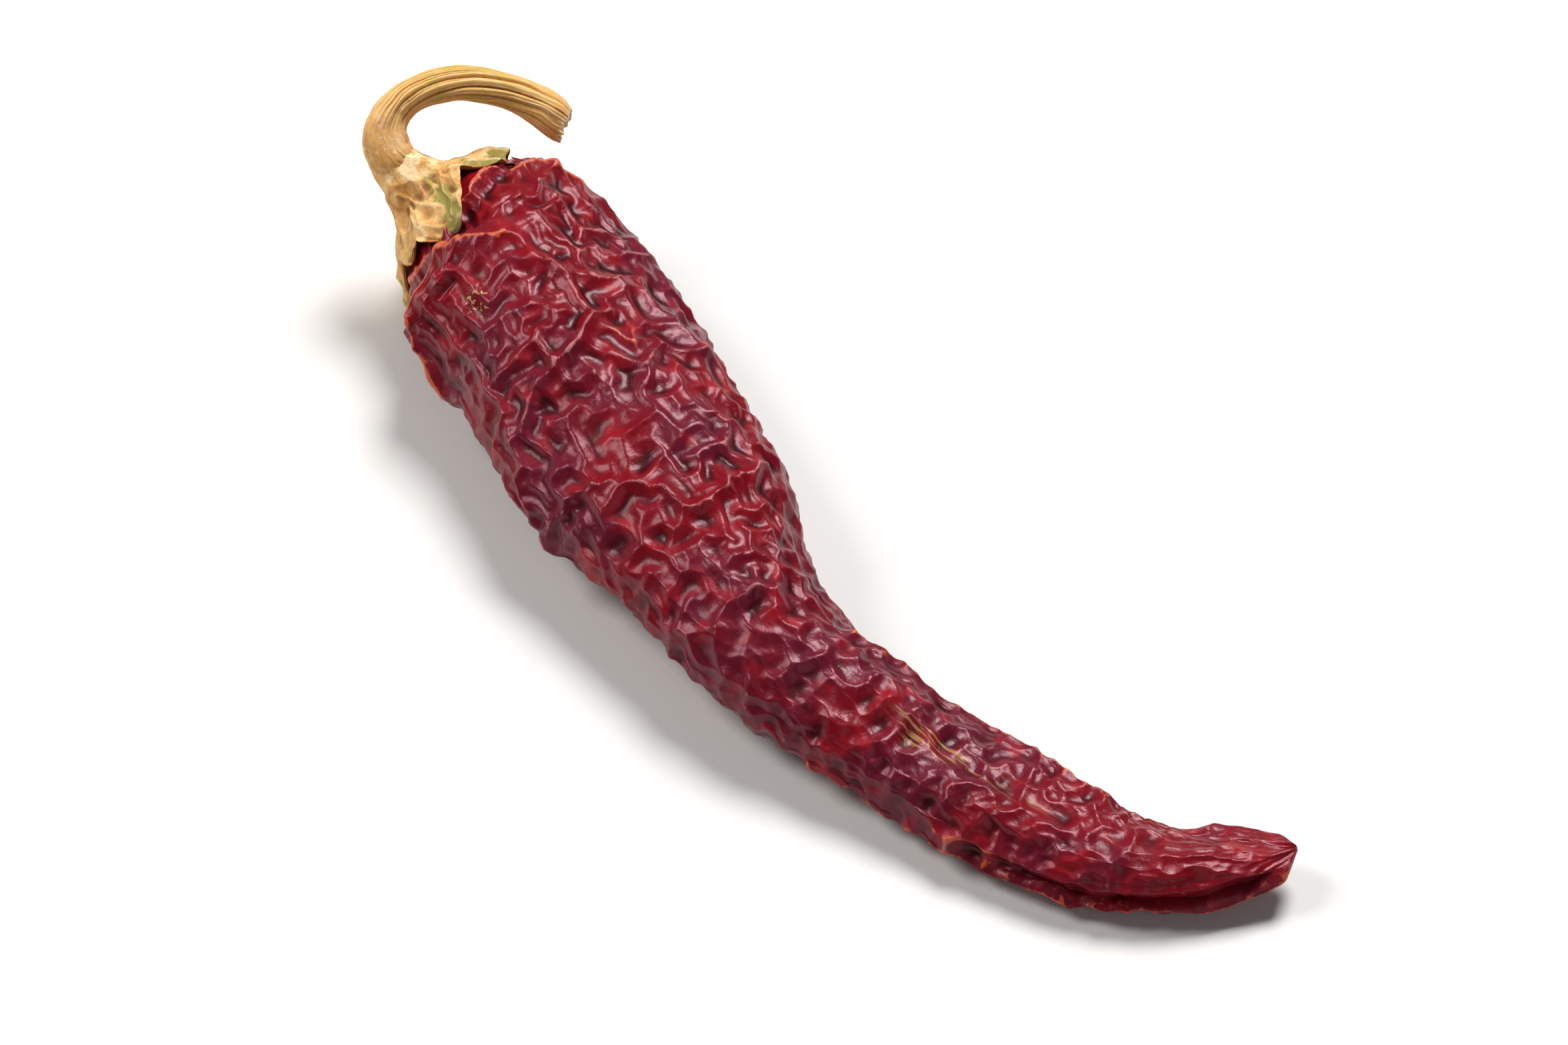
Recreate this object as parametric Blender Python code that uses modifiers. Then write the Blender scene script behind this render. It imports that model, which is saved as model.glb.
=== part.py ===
"""A dried chilli pepper lying on its side: the shrunken pod, its calyx and its hooked stem.

The pod runs along +X from the calyx to the tip, and +Z is up. The whole pepper stands centred over the
origin, on the plane z = 0, with its belly pressed flat where it touches the surface that it dried on.
"""

import math

import bmesh
import bpy
from mathutils import Matrix, Vector

MM = 0.001

# The calyx joins the pod at this point, and its axis leads away from the pod, up and back along the stem.
CALYX_JOINT = Vector((0.0, 0.0, 12.0)) * MM
CALYX_AXIS = Vector((-0.86, -0.26, 0.44)).normalized()

# The pod's end under the calyx: distance from the joint along the calyx's axis, and half-width (mm).
POD_CROWN = (
    (3.4, 2.6),
    (2.4, 5.0),
    (0.9, 7.4),
)
# The pod's cross-sections from shoulder to tip: the centre's x, y and z, half-width and half-height (mm).
POD_SECTIONS = (
    (1.6, -0.8, 11.0, 11.6, 9.6),
    (4.0, -1.1, 10.6, 14.2, 10.7),
    (10.5, -2.0, 10.1, 14.8, 11.1),
    (17.0, -3.2, 9.9, 14.6, 11.0),
    (27.0, -6.4, 9.5, 14.5, 10.5),
    (39.0, -10.7, 8.8, 13.8, 9.6),
    (51.5, -14.6, 8.1, 11.5, 8.5),
    (61.0, -17.6, 7.6, 9.5, 7.2),
    (69.5, -18.7, 6.7, 8.1, 6.0),
    (80.0, -17.4, 5.4, 7.9, 5.2),
    (91.0, -16.0, 4.2, 8.1, 4.7),
    (102.0, -14.9, 3.6, 7.9, 4.3),
    (110.8, -11.9, 3.4, 7.0, 4.0),
    (117.4, -6.4, 3.3, 5.3, 3.2),
    (121.6, -0.8, 4.0, 2.7, 1.9),
)
POD_CROWN_END = CALYX_JOINT + CALYX_AXIS * 3.8 * MM
POD_TIP = Vector((122.6, 1.2, 4.4)) * MM
# The crown's rings are square to the calyx's axis. Between these two x (mm) the rings turn square to the
# spine.
CROWN_TURN = (1.0, 8.0)
POINTS_AROUND = 12
SMOOTH_LEVELS = 2
# Subdivision pulls a closed ring of points in by this share, so the cage is made larger by as much.
RING_SHRINK = (2 + math.cos(math.tau / POINTS_AROUND)) / 3
# Furrows where the wall has fallen in between the ribs: x at the start and end (mm), angle at the start and
# end (degrees, 0 at the pod's +Y side and 90 on top), depth as a share of the radius, and half-angle (degrees).
FURROWS = (
    (4.0, 34.0, 62.0, 48.0, 0.16, 22.0),
    (22.0, 66.0, 128.0, 102.0, 0.13, 24.0),
    (54.0, 86.0, 8.0, 36.0, 0.26, 30.0),
    (78.0, 119.0, 168.0, 150.0, 0.24, 26.0),
    (84.0, 116.0, 78.0, 62.0, 0.12, 22.0),
    (12.0, 60.0, 268.0, 262.0, 0.10, 30.0),
)
# A furrow fades in and out over this length (mm) at its ends.
FURROW_FADE = 12.0
# The block that trims the belly level with the surface below it.
BELLY_CUTTER = Vector((200.0, 100.0, 20.0)) * MM

# The calyx's outer surface, from the rim to the neck: distance along its axis from the joint, and radius (mm).
CALYX_PROFILE = (
    (1.0, 10.2),
    (2.5, 9.0),
    (4.0, 7.1),
    (5.4, 5.4),
    (6.6, 4.4),
    (7.7, 3.7),
)
# The neck's closed end stands this far past the profile's last ring.
CALYX_CLOSED_END = 0.3 * MM
CALYX_WALL = 0.9 * MM
CALYX_TEETH = 5
CALYX_TOOTH_LENGTH = 1.1 * MM
CALYX_TOOTH_FLARE = 0.07
CALYX_POINTS_AROUND = 4 * CALYX_TEETH
CALYX_SMOOTH_LEVELS = 1
# The teeth die out over this many of the profile's rings, from the rim up.
CALYX_TOOTHED_RINGS = 3

# The stem's centreline from the calyx to its cut end: x, y, z and radius (mm).
STEM_POINTS = (
    (-7.2, -2.2, 15.7, 3.3),
    (-8.5, -2.4, 16.6, 2.9),
    (-10.0, -2.1, 18.0, 2.45),
    (-11.1, -0.9, 19.3, 2.2),
    (-11.5, 1.1, 20.4, 2.0),
    (-10.8, 3.5, 21.4, 1.9),
    (-8.8, 6.6, 22.1, 1.9),
    (-6.1, 9.3, 21.9, 1.9),
    (-3.2, 11.5, 21.0, 1.95),
    (-0.8, 12.9, 19.8, 2.05),
    (1.5, 13.8, 18.5, 2.15),
)
STEM_POINTS_BETWEEN = 3
STEM_BEVEL_RESOLUTION = 4

# Colour, roughness and metallic value of each piece.
POD_FINISH = ((0.19, 0.008, 0.012, 1.0), 0.35, 0.0)
CALYX_FINISH = ((0.48, 0.33, 0.15, 1.0), 0.75, 0.0)
STEM_FINISH = ((0.52, 0.34, 0.13, 1.0), 0.65, 0.0)


def clear_scene():
    for obj in list(bpy.data.objects):
        bpy.data.objects.remove(obj, do_unlink=True)


def new_collection(name):
    collection = bpy.data.collections.new(name)
    bpy.context.scene.collection.children.link(collection)
    return collection


def new_material(name, finish):
    colour, roughness, metallic = finish
    material = bpy.data.materials.new(name)
    material.use_nodes = True
    shader = material.node_tree.nodes["Principled BSDF"]
    shader.inputs["Base Color"].default_value = colour
    shader.inputs["Roughness"].default_value = roughness
    shader.inputs["Metallic"].default_value = metallic
    return material


def add_object(name, data, collection, parent, material):
    obj = bpy.data.objects.new(name, data)
    collection.objects.link(obj)
    obj.parent = parent
    data.materials.append(material)
    return obj


def ramp(value, start, end):
    """0 at start and 1 at end, with a smooth turn at both."""
    share = min(1.0, max(0.0, (value - start) / (end - start)))
    return share * share * (3 - 2 * share)


def furrow_depth(x, angle):
    """How far in the wall has fallen at x (mm) and angle (degrees), as a share of the radius."""
    total = 0.0
    for start, end, first_angle, last_angle, depth, half_angle in FURROWS:
        share = (x - start) / (end - start)
        centre = first_angle + (last_angle - first_angle) * min(1.0, max(0.0, share))
        away = (angle - centre + 180) % 360 - 180
        along = ramp(x, start, start + FURROW_FADE) * ramp(-x, -end, FURROW_FADE - end)
        total += depth * along * math.exp(-((away / half_angle) ** 2))
    return total


def pod_spine():
    """(centre, half-width, half-height) of each cross-section in metres, from the crown to the tip."""
    rings = []
    for distance, radius in POD_CROWN:
        rings.append((CALYX_JOINT + CALYX_AXIS * distance * MM, radius * MM, radius * MM))
    for x, y, z, half_width, half_height in POD_SECTIONS:
        rings.append((Vector((x, y, z)) * MM, half_width * MM, half_height * MM))
    return rings


def pod_cage():
    """Rings of cage points round the pod's spine, each ring square to the spine."""
    spine = pod_spine()
    centres = [ring[0] for ring in spine]
    cage = []
    for i, (centre, half_width, half_height) in enumerate(spine):
        before = centres[max(i - 1, 0)]
        after = centres[min(i + 1, len(centres) - 1)]
        spine_way = (after - before).normalized()
        along = (-CALYX_AXIS).lerp(spine_way, ramp(centre.x / MM, *CROWN_TURN)).normalized()
        side = Vector((0, 0, 1)).cross(along).normalized()
        up = along.cross(side)
        ring = []
        for j in range(POINTS_AROUND):
            angle = math.tau * j / POINTS_AROUND
            reach = (1 - furrow_depth(centre.x / MM, math.degrees(angle))) / RING_SHRINK
            across = side * (half_width * math.cos(angle))
            ring.append(centre + (across + up * (half_height * math.sin(angle))) * reach)
        cage.append(ring)
    return cage


def loft(bm, rings):
    """Quads between neighbouring closed rings of points, and the rings' vertices."""
    verts = [[bm.verts.new(point) for point in ring] for ring in rings]
    for first, second in zip(verts, verts[1:]):
        count = len(first)
        for j in range(count):
            k = (j + 1) % count
            bm.faces.new((first[j], first[k], second[k], second[j]))
    return verts


def close_with_fan(bm, ring, point):
    centre = bm.verts.new(point)
    for j, vertex in enumerate(ring):
        bm.faces.new((vertex, ring[(j + 1) % len(ring)], centre))


def mesh_from(bm, name):
    bmesh.ops.recalc_face_normals(bm, faces=bm.faces)
    mesh = bpy.data.meshes.new(name)
    bm.to_mesh(mesh)
    bm.free()
    mesh.shade_smooth()
    return mesh


def add_subdivision(obj, levels):
    modifier = obj.modifiers.new("smooth", "SUBSURF")
    modifier.levels = levels
    modifier.render_levels = levels


def make_pod(collection, parent):
    """The pod: a loft of unlike cross-sections from crown to tip, smoothed."""
    bm = bmesh.new()
    cage = pod_cage()
    rings = loft(bm, cage)
    close_with_fan(bm, rings[0], POD_CROWN_END)
    close_with_fan(bm, rings[-1], POD_TIP)
    material = new_material("pod_skin", POD_FINISH)
    pod = add_object("pod", mesh_from(bm, "pod"), collection, parent, material)
    add_subdivision(pod, SMOOTH_LEVELS)
    return pod


def press_belly_flat(pod, collection):
    """Cuts the pod level with the surface that it lies on."""
    bpy.ops.mesh.primitive_cube_add(size=1)
    cutter = bpy.context.object
    cutter.name = "belly_cutter"
    for owner in list(cutter.users_collection):
        owner.objects.unlink(cutter)
    collection.objects.link(cutter)
    cutter.data.transform(Matrix.Diagonal((*BELLY_CUTTER, 1)))
    cutter.location = (POD_TIP.x / 2, 0, -BELLY_CUTTER.z / 2)
    cutter.hide_render = True
    cutter.display_type = "WIRE"
    modifier = pod.modifiers.new("belly", "BOOLEAN")
    modifier.operation = "DIFFERENCE"
    modifier.object = cutter
    return cutter


def make_calyx(collection, parent):
    """The calyx: a flared cap with a toothed rim, whose neck carries the stem."""
    turn = Vector((0, 0, 1)).rotation_difference(CALYX_AXIS).to_matrix()
    rings = []
    for i, (distance, radius) in enumerate(CALYX_PROFILE):
        flare = 1 - ramp(i, 0, CALYX_TOOTHED_RINGS)
        ring = []
        for j in range(CALYX_POINTS_AROUND):
            angle = math.tau * j / CALYX_POINTS_AROUND
            tooth = math.cos(CALYX_TEETH * angle) * flare
            reach = radius * MM * (1 + CALYX_TOOTH_FLARE * tooth)
            height = distance * MM - CALYX_TOOTH_LENGTH * tooth
            point = Vector((reach * math.cos(angle), reach * math.sin(angle), height))
            ring.append(CALYX_JOINT + turn @ point)
        rings.append(ring)
    bm = bmesh.new()
    verts = loft(bm, rings)
    neck_end = CALYX_JOINT + CALYX_AXIS * (CALYX_PROFILE[-1][0] * MM + CALYX_CLOSED_END)
    close_with_fan(bm, verts[-1], neck_end)
    material = new_material("calyx_skin", CALYX_FINISH)
    calyx = add_object("calyx", mesh_from(bm, "calyx"), collection, parent, material)
    wall = calyx.modifiers.new("wall", "SOLIDIFY")
    wall.thickness = CALYX_WALL
    wall.offset = -1
    add_subdivision(calyx, CALYX_SMOOTH_LEVELS)
    return calyx


def between(points, share):
    """A point of the smooth curve through the four points, between the middle two."""
    a, b, c, d = points
    linear = (c - a) / 2
    square = a - b * 2.5 + c * 2 - d * 0.5
    cube = (d - a) / 2 + (b - c) * 1.5
    return b + linear * share + square * share**2 + cube * share**3


def make_stem(collection, parent):
    """The stem: a hooked tube, thick where it leaves the calyx and slightly swollen at its cut end."""
    points = [Vector(point) for point in STEM_POINTS]
    padded = [points[0] * 2 - points[1], *points, points[-1] * 2 - points[-2]]
    route = []
    for i in range(len(points) - 1):
        for step in range(STEM_POINTS_BETWEEN):
            route.append(between(padded[i : i + 4], step / STEM_POINTS_BETWEEN))
    route.append(points[-1])
    curve = bpy.data.curves.new("stem", "CURVE")
    curve.dimensions = "3D"
    curve.bevel_depth = 1.0 * MM
    curve.bevel_resolution = STEM_BEVEL_RESOLUTION
    curve.use_fill_caps = True
    spline = curve.splines.new("POLY")
    spline.points.add(len(route) - 1)
    for point, place in zip(spline.points, route):
        point.co = (place.x * MM, place.y * MM, place.z * MM, 1)
        point.radius = place.w
    material = new_material("stem_bark", STEM_FINISH)
    return add_object("stem", curve, collection, parent, material)


def stand_over_origin(base, pieces):
    """Moves the pepper so that its bounding box is centred over the origin, without lifting it."""
    bpy.context.view_layer.update()
    graph = bpy.context.evaluated_depsgraph_get()
    corners = []
    for piece in pieces:
        evaluated = piece.evaluated_get(graph)
        corners += [evaluated.matrix_world @ vertex.co for vertex in evaluated.to_mesh().vertices]
        evaluated.to_mesh_clear()
    for axis in (0, 1):
        low = min(corner[axis] for corner in corners)
        high = max(corner[axis] for corner in corners)
        base.location[axis] = -(low + high) / 2


def main():
    clear_scene()
    parts = new_collection("dried_chilli_pepper")
    cutters = new_collection("cutters")
    base = bpy.data.objects.new("dried_chilli_pepper", None)
    parts.objects.link(base)
    pod = make_pod(parts, base)
    cutter = press_belly_flat(pod, cutters)
    cutter.parent = base
    pieces = [pod, make_calyx(parts, base), make_stem(parts, base)]
    stand_over_origin(base, pieces)


main()
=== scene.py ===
import math

import bmesh
import bpy
import numpy as np
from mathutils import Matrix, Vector


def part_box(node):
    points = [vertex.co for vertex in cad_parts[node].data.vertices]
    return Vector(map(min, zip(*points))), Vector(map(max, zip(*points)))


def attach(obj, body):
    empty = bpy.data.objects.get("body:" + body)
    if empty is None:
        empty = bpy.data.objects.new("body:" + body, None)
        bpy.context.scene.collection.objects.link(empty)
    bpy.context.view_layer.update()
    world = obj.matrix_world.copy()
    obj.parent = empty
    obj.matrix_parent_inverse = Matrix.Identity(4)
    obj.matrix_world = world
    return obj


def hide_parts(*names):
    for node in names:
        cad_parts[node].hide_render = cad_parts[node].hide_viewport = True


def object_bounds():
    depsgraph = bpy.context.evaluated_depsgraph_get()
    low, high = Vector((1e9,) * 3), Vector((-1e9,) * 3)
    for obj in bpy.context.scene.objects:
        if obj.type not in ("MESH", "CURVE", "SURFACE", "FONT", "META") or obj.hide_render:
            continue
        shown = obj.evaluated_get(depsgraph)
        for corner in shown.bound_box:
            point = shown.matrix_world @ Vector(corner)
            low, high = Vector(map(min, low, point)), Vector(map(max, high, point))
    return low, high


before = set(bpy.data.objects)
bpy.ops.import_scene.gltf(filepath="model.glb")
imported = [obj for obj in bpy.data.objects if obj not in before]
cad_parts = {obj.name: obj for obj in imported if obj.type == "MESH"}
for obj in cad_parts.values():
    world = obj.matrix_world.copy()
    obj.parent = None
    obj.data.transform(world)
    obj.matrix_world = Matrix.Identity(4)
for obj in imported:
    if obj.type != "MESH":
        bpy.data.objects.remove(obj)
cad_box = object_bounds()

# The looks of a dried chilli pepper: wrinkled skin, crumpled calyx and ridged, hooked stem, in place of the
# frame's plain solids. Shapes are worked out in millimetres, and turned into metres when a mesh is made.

MM = 0.001

# The pod's smooth shape, under its wrinkles: the calyx's joint and axis, the crown under the calyx (distance
# along the axis, radius), then the cross-sections (centre's x, y and z, half-width, half-height).
CALYX_JOINT = np.array((0.0, 0.0, 12.0))
CALYX_AXIS = np.array((-0.86, -0.26, 0.44)) / np.linalg.norm((-0.86, -0.26, 0.44))
POD_CROWN = ((3.4, 2.6), (2.4, 5.0), (0.9, 7.4))
POD_CROWN_END = CALYX_JOINT + CALYX_AXIS * 3.8
POD_SECTIONS = (
    (1.6, -0.8, 11.0, 11.6, 9.6),
    (4.0, -1.1, 10.6, 14.2, 10.7),
    (10.5, -2.0, 10.1, 14.8, 11.1),
    (17.0, -3.2, 9.9, 14.6, 11.0),
    (27.0, -6.4, 9.5, 14.5, 10.5),
    (39.0, -10.7, 8.8, 13.8, 9.6),
    (51.5, -14.6, 8.1, 11.5, 8.5),
    (61.0, -17.6, 7.6, 9.5, 7.2),
    (69.5, -18.7, 6.7, 8.1, 6.0),
    (80.0, -17.4, 5.4, 7.9, 5.2),
    (91.0, -16.0, 4.2, 8.1, 4.7),
    (102.0, -14.9, 3.6, 7.9, 4.3),
    (110.8, -11.9, 3.4, 7.0, 4.0),
    (117.4, -6.4, 3.3, 5.3, 3.2),
    (121.6, -0.8, 4.0, 2.7, 1.9),
)
POD_TIP = np.array((122.6, 1.2, 4.4))
# Between these x the sections turn from facing the calyx to facing along the pod.
CROWN_TURN = (1.0, 8.0)
# Control points round a section, and the surface's radius as a share of theirs.
CAGE_AROUND = 12
CAGE_SHRINK = (2 + math.cos(math.tau / CAGE_AROUND)) / 3
# Furrows: x from and to, angle from and to (degrees), depth as a share of the radius, half-angle (degrees).
FURROWS = (
    (4.0, 34.0, 62.0, 48.0, 0.16, 22.0),
    (22.0, 66.0, 128.0, 102.0, 0.13, 24.0),
    (54.0, 86.0, 8.0, 36.0, 0.26, 30.0),
    (78.0, 119.0, 168.0, 150.0, 0.24, 26.0),
    (84.0, 116.0, 78.0, 62.0, 0.12, 22.0),
    (12.0, 60.0, 268.0, 262.0, 0.10, 30.0),
)
FURROW_FADE = 12.0
# Rows on which the pod's length is measured.
MEASURED_ROWS = 2000

# The skin. Its grid is POD_AROUND by POD_ALONG points. A place on it is (distance along from the crown in
# mm, angle in degrees: 0 at the +Y side, 90 on top, 180 at the -Y side).
POD_AROUND = 336
POD_ALONG = 561
SKIN_SEED = 7
DENT_SEED = 12
# Big folds: the places that a fold runs through, its height (mm, below 0 for a crease) and half-width (mm).
FOLDS = (
    (((9.5, 20), (9.0, 60), (8.5, 104), (9.0, 135)), 1.3, 1.6),
    (((23, 100), (15, 122), (10.5, 144), (13, 160), (21, 177), (30, 196)), 1.7, 2.4),
    (((12, 70), (14, 56), (18, 30), (22, 10)), 1.4, 2.2),
    (((26, 104), (30, 90), (35, 52), (44, 38)), 1.2, 2.6),
    (((12, 250), (11, 290), (13, 330)), 1.2, 2.2),
    (((56, 136), (58, 114), (65, 98), (64, 74), (62, 44)), 1.1, 2.6),
    (((44, 142), (41.5, 120), (40, 100), (37, 76)), 1.2, 2.2),
    (((44, 156), (48, 160), (53, 184), (57, 190)), 1.2, 2.4),
    (((74, 160), (78, 140), (76, 112), (78, 84)), 1.1, 2.2),
    (((11, 142), (9.5, 158), (9.5, 178), (9.5, 200), (11, 216)), 1.5, 2.2),
    (((134, 196), (139, 190), (143, 184)), 1.7, 2.6),
    (((134, 14), (139, 10), (143, 4)), 1.5, 2.6),
    (((88, 124), (94, 114), (99, 106), (108, 92), (118, 84)), -0.6, 3.2),
    (((86, 40), (96, 28), (104, 24), (114, 36), (122, 40)), 1.5, 1.8),
    (((92, 196), (103, 204), (112, 192), (120, 196), (128, 190), (136, 178)), 1.7, 1.6),
    (((108, 176), (116, 168), (124, 172), (132, 160), (140, 150)), 1.3, 1.5),
    (((112, 184), (120, 183), (129, 178), (137, 166)), -1.8, 1.9),
)
# Folds higher than this get a painted orange glow on their lip, reaching this far from the fold's middle
# (mm).
LIP_RISE = 1.25
LIP_WIDTH = 0.9
# The calyx lets go of the skin between these distances along, and the tip holds it over this length (mm).
HELD = (5.0, 8.5)
TIP_HELD = 3.0
# The belly narrows into the tail between these x.
TAIL = (52.0, 72.0)
# The crown's swelling into the calyx, the distances along over which it ends, and how far under the calyx
# the skin stays (mm).
CROWN_LIFT = 0.8
CROWN_LIFT_FADE = (8.0, 11.0)
CALYX_CLEARANCE = 1.3
# As the skin buckles: the share of its speed that it keeps after a step, how stiff it is across its squares,
# and the share of its slip along the wall that a step takes back.
SPEED_KEPT = 0.85
SQUARE_STIFFNESS = 0.8
SLIP_TAKEN_BACK = 0.0015


def smooth_ramp(value, start, end):
    """0 at start and 1 at end, with a smooth turn at both."""
    share = np.clip((value - start) / (end - start), 0, 1)
    return share * share * (3 - 2 * share)


def fade(value, start, end):
    """1 at start and 0 at end, with a smooth turn at both."""
    return smooth_ramp(-value, -end, -start)


def angle_from(angles, centre):
    """How far round from centre the angles are, from -180 to 180 degrees."""
    return (angles - centre + 180) % 360 - 180


def blend(a, b, share):
    """From a to b as share goes from 0 to 1."""
    return a + (b - a) * share


def evenly_round(count):
    """That many angles round a ring, in degrees."""
    return np.arange(count) * 360 / count


def unit(vectors):
    length = np.linalg.norm(vectors, axis=-1, keepdims=True)
    return vectors / np.maximum(length, 1e-9)


def spline_weights(share):
    """The weights of a uniform cubic B-spline's four points, at a share of the way along a span."""
    a = (1 - share) ** 3
    b = 3 * share**3 - 6 * share**2 + 4
    c = -3 * share**3 + 3 * share**2 + 3 * share + 1
    return np.stack((a, b, c, share**3), -1) / 6


def furrow_depth(x, angles):
    """Depth of the furrows at x, as a share of the radius."""
    total = 0.0
    for start, end, first, last, depth, half_angle in FURROWS:
        centre = blend(first, last, np.clip((x - start) / (end - start), 0, 1))
        along = smooth_ramp(x, start, start + FURROW_FADE) * fade(x, end - FURROW_FADE, end)
        total = total + depth * along * np.exp(-((angle_from(angles, centre) / half_angle) ** 2))
    return total


def pod_cage():
    """Rings of control points round the pod's spine, with a pole at each end."""
    spine = [(CALYX_JOINT + CALYX_AXIS * distance, radius, radius) for distance, radius in POD_CROWN]
    spine += [(np.array(section[:3]), *section[3:]) for section in POD_SECTIONS]
    centres = [ring[0] for ring in spine]
    angles = evenly_round(CAGE_AROUND)
    cosine, sine = np.cos(np.radians(angles)), np.sin(np.radians(angles))
    rings = []
    for i, (centre, half_width, half_height) in enumerate(spine):
        way = unit(centres[min(i + 1, len(centres) - 1)] - centres[max(i - 1, 0)])
        turned = smooth_ramp(centre[0], *CROWN_TURN)
        along = unit(-CALYX_AXIS * (1 - turned) + way * turned)
        side = unit(np.cross((0, 0, 1), along))
        up = np.cross(along, side)
        reach = (1 - furrow_depth(centre[0], angles)) / CAGE_SHRINK
        across = side * (half_width * cosine * reach)[:, None] + up * (half_height * sine * reach)[:, None]
        rings.append(centre + across)
    crown = np.repeat(POD_CROWN_END[None], CAGE_AROUND, 0)
    tip = np.repeat(POD_TIP[None], CAGE_AROUND, 0)
    return np.array([2 * crown - rings[0], crown, *rings, tip, 2 * tip - rings[-1]])


def pod_surface():
    """The smooth pod as a grid of points (along, around, 3), and how far along each row is (mm)."""
    cage = pod_cage()
    around = np.arange(POD_AROUND) / POD_AROUND * CAGE_AROUND
    first = np.floor(around).astype(int)
    weights = spline_weights(around - first)
    rails = sum(cage[:, (first + k - 1) % CAGE_AROUND] * weights[None, :, k, None] for k in range(4))
    spans = len(cage) - 3

    def rows_at(places):
        span = np.minimum(np.floor(places).astype(int), spans - 1)
        row_weights = spline_weights(places - span)
        return sum(rails[span + k] * row_weights[:, k, None, None] for k in range(4))

    dense = np.linspace(0, spans, MEASURED_ROWS)
    steps = np.linalg.norm(np.diff(rows_at(dense), axis=0), axis=2).mean(1)
    length = np.concatenate(((0,), np.cumsum(steps)))
    even = np.linspace(0, length[-1], POD_ALONG)
    return rows_at(np.interp(even, length, dense)), even


def gaps_around(points):
    """Distance from each point to the next one round its ring."""
    return np.linalg.norm(np.roll(points, -1, 1) - points, axis=2)


def ring_radius(points):
    """The radius of a circle as long as each ring of the grid."""
    return gaps_around(points).sum(1) / math.tau


def grid_normals(points):
    """Normals of a grid whose rows are closed rings, pointing out of it."""
    around = np.roll(points, -1, 1) - np.roll(points, 1, 1)
    along = np.gradient(points, axis=0)
    normals = unit(np.cross(around, along))
    outward = (normals * (points - points.mean(1, keepdims=True))).sum()
    return normals if outward > 0 else -normals


def fold_height(along, points):
    """Height of the big folds over the smooth pod, on its grid (mm), and 1 on a fold's lip."""
    mm_per_degree = np.radians(ring_radius(points))[:, None]
    angles = evenly_round(points.shape[1])
    height = np.zeros(points.shape[:2])
    lip = np.zeros(points.shape[:2])
    for places, rise, half_width in FOLDS:
        nearest = np.full(height.shape, np.inf)
        for (s0, a0), (s1, a1) in zip(places, places[1:]):
            ds = along[:, None] - s0
            da = angle_from(angles[None], a0) * mm_per_degree
            es = s1 - s0
            ea = (a1 - a0) * mm_per_degree
            share = np.clip((ds * es + da * ea) / (es * es + ea * ea), 0, 1)
            nearest = np.minimum(nearest, np.hypot(ds - share * es, da - share * ea))
        height += rise * np.clip(1 - nearest / half_width, 0, 1) ** 2
        if rise > LIP_RISE:
            lip = np.maximum(lip, np.clip(1 - nearest / LIP_WIDTH, 0, 1))
    return height, lip


def coarse_noise(rng, shape, cell):
    """Smooth random numbers on a grid whose rows are closed rings; a cell is that many points wide."""
    rows, columns = shape
    cells = columns // cell
    values = rng.standard_normal((math.ceil(rows / cell) + 4, cells))
    row = np.arange(rows) / cell
    row_cell = np.floor(row).astype(int)
    weights = spline_weights(row - row_cell)
    strips = sum(values[row_cell + k] * weights[:, k, None] for k in range(4))
    column = np.arange(columns) / columns * cells
    column_cell = np.floor(column).astype(int)
    weights = spline_weights(column - column_cell)
    return sum(strips[:, (column_cell + k - 1) % cells] * weights[None, :, k] for k in range(4))


def curvature(field):
    """Sum of the differences to the four neighbours, for (3, along, around) values."""
    total = np.roll(field, 1, 2) + np.roll(field, -1, 2) - 2 * field
    total[:, 1:-1] += field[:, 2:] + field[:, :-2] - 2 * field[:, 1:-1]
    return total


def pull(a, b, rest, stiffness):
    """How far each of a and b moves towards the other to bring them to their rest distance."""
    gap = b - a
    length = np.sqrt(np.einsum("ijk,ijk->jk", gap, gap)) + 1e-9
    return gap * ((length - rest) / length * (0.5 * stiffness))


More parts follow.
